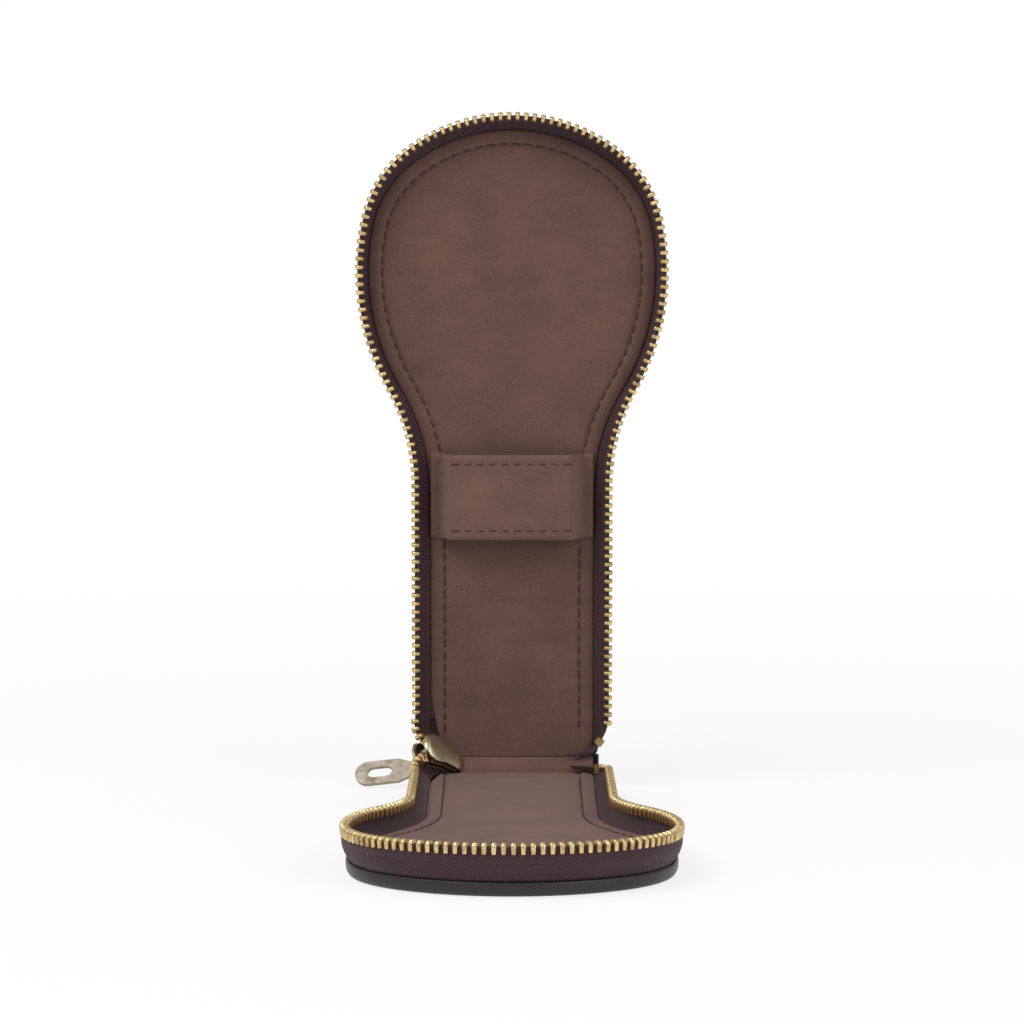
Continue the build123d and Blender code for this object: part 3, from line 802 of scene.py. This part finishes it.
def make_hinge_leather():
    outer = LID_Y + PANEL - HINGE_Y
    for name, low, high in (("fold_leather_low", 0.0, 0.5), ("fold_leather_high", 0.5, 1.0)):
        def point(i, j):
            f = low + (high - low) * j / 10
            a = -math.pi / 2 + math.pi / 2 * f
            x = -22.0 + 44.0 * i / 40
            edge = min(i, 40 - i)
            tuck = (0.5, 0.1, 0.0)[min(edge, 2)]
            r = outer - tuck
            return Vector((x, HINGE_Y + r * math.cos(a), LID_Z + r * math.sin(a))) * MM

        piece = lay_grid(name, 41, 11, point, lambda i, j: (i, j))
        edit(piece, flip_faces)
        apply(piece, "SOLIDIFY", thickness=0.9 * MM, offset=-1.0)
        smooth(piece, 60)
        finish_piece(piece, HIDE)
        if low == 0.0:
            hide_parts("hinge_leather")
            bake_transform(piece)
        else:
            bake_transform(piece)


# ---- zip slider --------------------------------------------------------------------------------
SLIDE_AXIS = Vector((-R, -0.5, 0.5))
SLIDE_OUT = Vector((-R, 0.5, -0.5))
SLIDE_UP = Vector((0.0, R, R))
SLIDE_MID = Vector((SLIDER_X, MID_Y - SLIDER_B * R, MID_Z + SLIDER_B * R))
SLIDER_HALF = 5.7


def on_slider(a, v, n):
    """A point of the slider: along it towards its mouth, across it, and out of the case."""
    return (SLIDE_MID + SLIDE_AXIS * a + SLIDE_UP * v + SLIDE_OUT * n) * MM


def plate_half(a):
    """Half width of the slider's plates: square tail, swelling body, round mouth."""
    if a < -2.0:
        return 2.2 + 0.15 * (a + SLIDER_HALF) / 3.7
    if a < 2.6:
        f = (a + 2.0) / 4.6
        return 2.35 + 1.25 * f * f * (3 - 2 * f)
    return 3.6 * math.sqrt(max(1 - ((a - 2.6) / 3.1) ** 2, 0.0))


def make_plate(name, n, sign):
    """One plate, domed along its middle and turned in at its rim."""
    columns, rows = 33, 17

    def point(i, j):
        f = i / (columns - 1)
        a = -SLIDER_HALF + 2 * SLIDER_HALF * math.sin(f * math.pi / 2) ** 1.15
        v = -1 + 2 * j / (rows - 1)
        half = max(plate_half(a), 0.25)
        end = max(0.0, abs(a) - 4.9) / 0.8
        drop = 0.42 * abs(v) ** 3 + 0.30 * end ** 2
        return on_slider(a, v * half, sign * (n + 0.35 - drop))

    piece = lay_grid(name, columns, rows, point, lambda i, j: (i, j))
    if sign > 0:
        edit(piece, flip_faces)
    apply(piece, "SOLIDIFY", thickness=0.85 * MM, offset=-1.0)
    apply(piece, "BEVEL", width=0.16 * MM, segments=2, limit_method="ANGLE", angle_limit=math.radians(40))
    return piece


def make_lip(side, level):
    """A side lip that holds the teeth in, with the slot for the tape beside it."""
    def point(i, j):
        a = -SLIDER_HALF + 0.2 + (SLIDER_HALF * 2 - 3.0) * i / 20
        n = (0.5 + 0.85 * j / 4) * level
        return on_slider(a, side * (plate_half(a) - 0.1), n)

    piece = lay_grid("lip", 21, 5, point, lambda i, j: (i, j))
    apply(piece, "SOLIDIFY", thickness=0.6 * MM, offset=0.0)
    apply(piece, "BEVEL", width=0.12 * MM, segments=2, limit_method="ANGLE", angle_limit=math.radians(40))
    return piece


def make_slider():
    parts = [make_plate("inner_plate", 2.0, -1), make_plate("outer_plate", 2.0, 1)]
    parts += [make_lip(side, level) for side in (-1, 1) for level in (-1, 1)]
    bpy.ops.mesh.primitive_cylinder_add(vertices=20, radius=0.75, depth=2.9)
    post = bpy.context.object
    post.data.transform(Matrix.Diagonal((1.7, 1.0, 1.0, 1.0)))
    for vertex in post.data.vertices:
        x, y, z = vertex.co
        vertex.co = on_slider(3.1 + x, y, z)
    parts.append(post)
    slider = join(parts, "slider_shell")
    smooth(slider, 45)
    finish_piece(slider, OLD_BRASS, "spine", ("slider_body",))


# ---- the rows' run into the slider -------------------------------------------------------------
def lead_curve(shell):
    """A smooth run in millimetres from the end of a straight row to the slider's mouth."""
    place = SHELLS[shell]
    side = -1 if shell == "base" else 1
    x, s = zip_spot(FIRST)[:2]
    start = place(x, s, zip_height(s)) / MM
    back = (place(x, s - 1, zip_height(s - 1)) / MM - start).normalized()
    end = on_slider(3.9, side * 1.9, 0) / MM
    lean = Vector((-1.3, 0, 0)) + (place(0, 0, 0.9) - place(0, 0, 0)) / MM
    return start, start + back * 2.8 + lean * 0.5, end + SLIDE_AXIS * 2.6 + lean * 0.4, end


def curve_at(points, t):
    p0, p1, p2, p3 = points
    u = 1 - t
    return p0 * u ** 3 + p1 * 3 * u * u * t + p2 * 3 * u * t * t + p3 * t ** 3


def lead_up(shell, t):
    place = SHELLS[shell]
    side = 1 if shell == "base" else -1
    first = (place(0, 0, 1) - place(0, 0, 0)).normalized()
    return (first * (1 - t) + SLIDE_UP * side * t).normalized()


def make_lead(shell, phase):
    points = lead_curve(shell)
    steps = [curve_at(points, k / 60) for k in range(61)]
    total = [0.0]
    for p, q in zip(steps, steps[1:]):
        total.append(total[-1] + (q - p).length)
    teeth = []
    gone = PITCH * (1 - phase)
    while gone < total[-1] + 1.0:
        t = min(next((k for k, g in enumerate(total) if g >= gone), 60) / 60, 1.0)
        spot = curve_at(points, t)
        along = (curve_at(points, min(t + 0.02, 1.0)) - curve_at(points, max(t - 0.02, 0.0))).normalized()
        up = lead_up(shell, t)
        across = along.cross(up).normalized()
        up = across.cross(along).normalized()
        matrix = Matrix.Translation(spot * MM) @ Matrix((across, along, up)).transposed().to_4x4()
        teeth.append(copy_of(TOOTH, matrix, "tooth_copy"))
        gone += PITCH
    row = join(teeth, shell + "_lead_teeth")
    smooth(row, 40)
    finish_piece(row, BRASS)
    lead_blend(row, shell)

    place = SHELLS[shell]
    side = -1 if shell == "base" else 1

    def point(i, j):
        t = i / 24
        f = j / 8
        top = curve_at(points, t) - lead_up(shell, t) * 0.7
        fold = (1 - t) ** 1.2
        low_start = place(-21.0, 10.0 * fold, -0.9) / MM
        low_end = on_slider(-4.4, side * 1.2, 0.4) / MM
        slow = t * t
        low = low_start * (1 - slow) + low_end * slow
        belly = math.sin(math.pi * f) * 0.7 * (1 - t)
        return (low + (top - low) * f + Vector((-belly, 0, 0))) * MM

    tape = lay_grid(shell + "_lead_tape", 25, 9, point, lambda i, j: (i * 0.35, j * 0.5))
    apply(tape, "SOLIDIFY", thickness=0.5 * MM, offset=0.0)
    smooth(tape, 60)
    finish_piece(tape, TAPE)
    lead_blend(tape, shell)


def lead_blend(piece, shell):
    place = SHELLS[shell]
    if shell == "base":
        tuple(place(0, 10.5, 0))
        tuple(place(0, 3.5, 0))
        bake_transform(piece)
    else:
        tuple(place(0, 3.5, 0))
        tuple(place(0, 10.5, 0))
        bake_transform(piece)


# ---- watch band holder ---------------------------------------------------------------------------
HOLD_LOW, HOLD_HIGH = 55.5, 76.8
HOLD_HALF = 20.3


def holder_line(x):
    """Height of the band's front face above the lining."""
    a = abs(x + 0.0)
    crown, foot = 15.4, 18.6
    top = 7.9 + 0.25 * math.cos(math.pi * min(a / crown, 1.0) / 2)
    if a < crown - 1.2:
        return top
    if a > foot:
        return 1.15 + 0.1 * math.sin((a - foot) * 1.4)
    f = (a - (crown - 1.2)) / (foot - crown + 1.2)
    f = f * f * (3 - 2 * f)
    return top + (1.15 - top) * f


def make_holder():
    columns, rows = 121, 33

    def point(i, j):
        u = -1 + 2 * i / (columns - 1)
        x = HOLD_HALF * u
        f = j / (rows - 1)
        s = HOLD_LOW + (HOLD_HIGH - HOLD_LOW) * f
        near = min(s - HOLD_LOW, HOLD_HIGH - s)
        roll = 0.45 * max(0.0, 1 - near / 0.6) ** 2
        seam = 0.16 * math.exp(-((near - 2.3) / 0.4) ** 2)
        sag = 0.18 * math.sin(math.pi * f) * math.cos(u * math.pi / 2)
        ripple = 0.08 * math.sin(x * 0.9 + s * 0.4) * math.sin(math.pi * f)
        return on_lid(x, s, holder_line(x) - roll - seam - sag + ripple)

    piece = lay_grid("holder_band", columns, rows, point, lambda i, j: (i, j))
    apply(piece, "SOLIDIFY", thickness=1.05 * MM, offset=-1.0)
    smooth(piece, 60)
    finish_piece(piece, BAND, "lid", ("holder_backing", "holder_face"))
    return piece


# ---- stitches --------------------------------------------------------------------------------------
def make_stitch(length):
    """One stitch: a short thread that dips into the suede at both ends."""
    bpy.ops.mesh.primitive_cylinder_add(vertices=8, radius=0.22, depth=length, rotation=(math.pi / 2, 0, 0))
    stitch = bpy.context.object
    bpy.ops.object.transform_apply(location=True, rotation=True, scale=True)
    bpy.ops.object.mode_set(mode="EDIT")
    bpy.ops.mesh.select_all(action="SELECT")
    for k in range(1, 6):
        bpy.ops.mesh.select_all(action="SELECT")
        bpy.ops.mesh.bisect(plane_co=(0, -length / 2 + k * length / 6, 0), plane_no=(0, 1, 0))
    bpy.ops.object.mode_set(mode="OBJECT")
    for vertex in stitch.data.vertices:
        f = abs(vertex.co.y) / (length / 2)
        thin = math.sqrt(max(1 - f ** 4, 0.12))
        vertex.co.x *= thin
        vertex.co.z = vertex.co.z * thin * 0.8 - 0.28 * f ** 3
    for vertex in stitch.data.vertices:
        vertex.co *= MM
    return stitch


def make_seam(shell, stitch):
    place = SHELLS[shell]
    half = keyhole_arcs(COVER, -LINING_INSET - STITCH_LINE)
    total = sum(run_length(run) for run in half)
    made = []
    count = int((2 * total - 8) / SEAM_PITCH)
    for k in range(count):
        d = 4.0 + k * SEAM_PITCH
        left = d <= total
        e = d if left else 2 * total - d
        for run in half:
            g = run_length(run)
            if e <= g or run is half[-1]:
                x, s, nx, ns = run_point(run, min(e / g, 1.0))
                break
            e -= g
        if left:
            x, nx = -x, -nx
        if s < 4.0 or (shell == "lid" and HOLD_LOW - 1 < s < HOLD_HIGH + 1):
            continue
        spot = place(x, s, -0.08)
        up = (place(x, s, 1.0) - place(x, s, 0.0)).normalized()
        along = (place(x - ns, s + nx, 0) - place(x, s, 0)).normalized()
        across = along.cross(up)
        matrix = Matrix.Translation(spot) @ Matrix((across, along, up)).transposed().to_4x4()
        made.append(copy_of(stitch, matrix, "stitch_copy"))
    row = join(made, shell + "_seam_thread")
    smooth(row, 60)
    finish_piece(row, THREAD, shell, (shell + "_seam_stitches",))


def make_holder_stitches(stitch):
    made = []
    for s in (HOLD_LOW + 2.3, HOLD_HIGH - 2.3):
        x = -18.4
        while x < 18.5:
            h = holder_line(x)
            slope = (holder_line(x + 0.4) - holder_line(x - 0.4)) / 0.8
            if abs(slope) < 0.9:
                along = (on_lid(1.0, 0, slope) - on_lid(0, 0, 0)).normalized()
                up = (on_lid(-slope, 0, 1.0) - on_lid(0, 0, 0)).normalized()
                across = along.cross(up)
                turn = Matrix((across, along, up)).transposed().to_4x4()
                matrix = Matrix.Translation(on_lid(x, s, h - 0.12)) @ turn
                made.append(copy_of(stitch, matrix, "stitch_copy"))
            x += SEAM_PITCH if abs(slope) < 0.9 else 1.2
    row = join(made, "holder_thread")
    smooth(row, 60)
    finish_piece(row, THREAD, "lid", ("holder_stitches",))


# ---- building it all ---------------------------------------------------------------------------------
for shell_name in ("base", "lid"):
    make_lining(shell_name)
    make_cover(shell_name)
    make_tape(shell_name)
make_teeth("base", 0.0)
make_teeth("lid", 0.5)
make_slider()
make_lead("base", 0.0)
make_lead("lid", 0.5)
make_hinge_lining()
make_hinge_leather()
make_holder()
STITCH = make_stitch(2.5)
for shell_name in ("base", "lid"):
    make_seam(shell_name, STITCH)
make_holder_stitches(STITCH)
for spare in (TOOTH, STITCH):
    bpy.data.objects.remove(spare)

for node_name, look in (
    ("base_board", INNER), ("lid_board", INNER), ("base_foam", INNER), ("lid_foam", INNER),
    ("hinge_webbing", TAPE),
    ("base_top_stop", BRASS), ("lid_top_stop", BRASS), ("slider_bridge", OLD_BRASS),
    ("zip_end_tape", TAPE), ("zip_end_teeth", BRASS), ("bottom_stop", BRASS), ("pull_tab", TAB_METAL),
):
    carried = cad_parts[node_name]
    for slot_of in carried.material_slots:
        slot_of.material = look
for node_name in ("pull_tab", "slider_bridge"):
    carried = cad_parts[node_name]
    weld = carried.modifiers.new("Weld", "WELD")
    weld.merge_threshold = 0.000005
    soften = carried.modifiers.new("Bevel", "BEVEL")
    soften.width = 0.22 * MM
    soften.segments = 3
    soften.limit_method = "ANGLE"
    soften.angle_limit = math.radians(40)

# ---- floor, world and lights --------------------------------------------------------------------------
bpy.ops.mesh.primitive_plane_add(size=12.0, location=(0, 0, -0.0002))
floor = bpy.context.object
floor.name = "floor"
floor_material = bpy.data.materials.new("pale_floor")
floor_material.use_nodes = True
tree = floor_material.node_tree
tree.nodes.clear()
diffuse = node(tree, "ShaderNodeBsdfDiffuse", {"Color": (0.88, 0.88, 0.88, 1)})
glow = node(tree, "ShaderNodeEmission", {"Color": (1, 1, 1, 1), "Strength": 1.0})
path = node(tree, "ShaderNodeLightPath")
seen = math_node(tree, "MAXIMUM", path.outputs["Is Camera Ray"], path.outputs["Is Glossy Ray"])
where = node(tree, "ShaderNodeTexCoord")
reach = node(tree, "ShaderNodeVectorMath", operation="LENGTH")
wire(tree, where.outputs["Object"], reach.inputs[0])
fade = node(tree, "ShaderNodeMapRange", {"From Min": 0.12, "From Max": 0.6, "To Min": 0.80, "To Max": 1.0})
wire(tree, reach.outputs["Value"], fade.inputs["Value"])
blend = node(tree, "ShaderNodeMixShader")
wire(tree, math_node(tree, "MULTIPLY", seen, fade.outputs[0]), blend.inputs[0])
wire(tree, diffuse.outputs[0], blend.inputs[1])
wire(tree, glow.outputs[0], blend.inputs[2])
out = node(tree, "ShaderNodeOutputMaterial")
wire(tree, blend.outputs[0], out.inputs[0])
floor.data.materials.append(floor_material)

world = bpy.data.worlds.new("studio")
bpy.context.scene.world = world
world.use_nodes = True
tree = world.node_tree
tree.nodes.clear()
dim = node(tree, "ShaderNodeBackground", {"Color": (1, 1, 1, 1), "Strength": 0.55})
bright = node(tree, "ShaderNodeBackground", {"Color": (1, 1, 1, 1), "Strength": 1.0})
path = node(tree, "ShaderNodeLightPath")
seen = math_node(tree, "MAXIMUM", path.outputs["Is Camera Ray"], path.outputs["Is Transmission Ray"])
blend = node(tree, "ShaderNodeMixShader")
wire(tree, seen, blend.inputs[0])
wire(tree, dim.outputs[0], blend.inputs[1])
wire(tree, bright.outputs[0], blend.inputs[2])
out = node(tree, "ShaderNodeOutputWorld")
wire(tree, blend.outputs[0], out.inputs[0])


def softbox(name, where_at, aim, size, power):
    lamp = bpy.data.lights.new(name, "AREA")
    lamp.shape = "RECTANGLE"
    lamp.size, lamp.size_y = size
    lamp.energy = power
    holder = bpy.data.objects.new(name, lamp)
    bpy.context.scene.collection.objects.link(holder)
    holder.location = where_at
    holder.rotation_euler = (Vector(aim) - Vector(where_at)).to_track_quat("-Z", "Y").to_euler()


softbox("key", (-0.55, -0.45, 0.95), (0, 0.03, 0.06), (0.7, 0.7), 7.0)
softbox("fill", (0.75, -0.65, 0.55), (0, 0.03, 0.06), (0.7, 0.7), 3.0)

bpy.context.scene.view_settings.view_transform = "Standard"
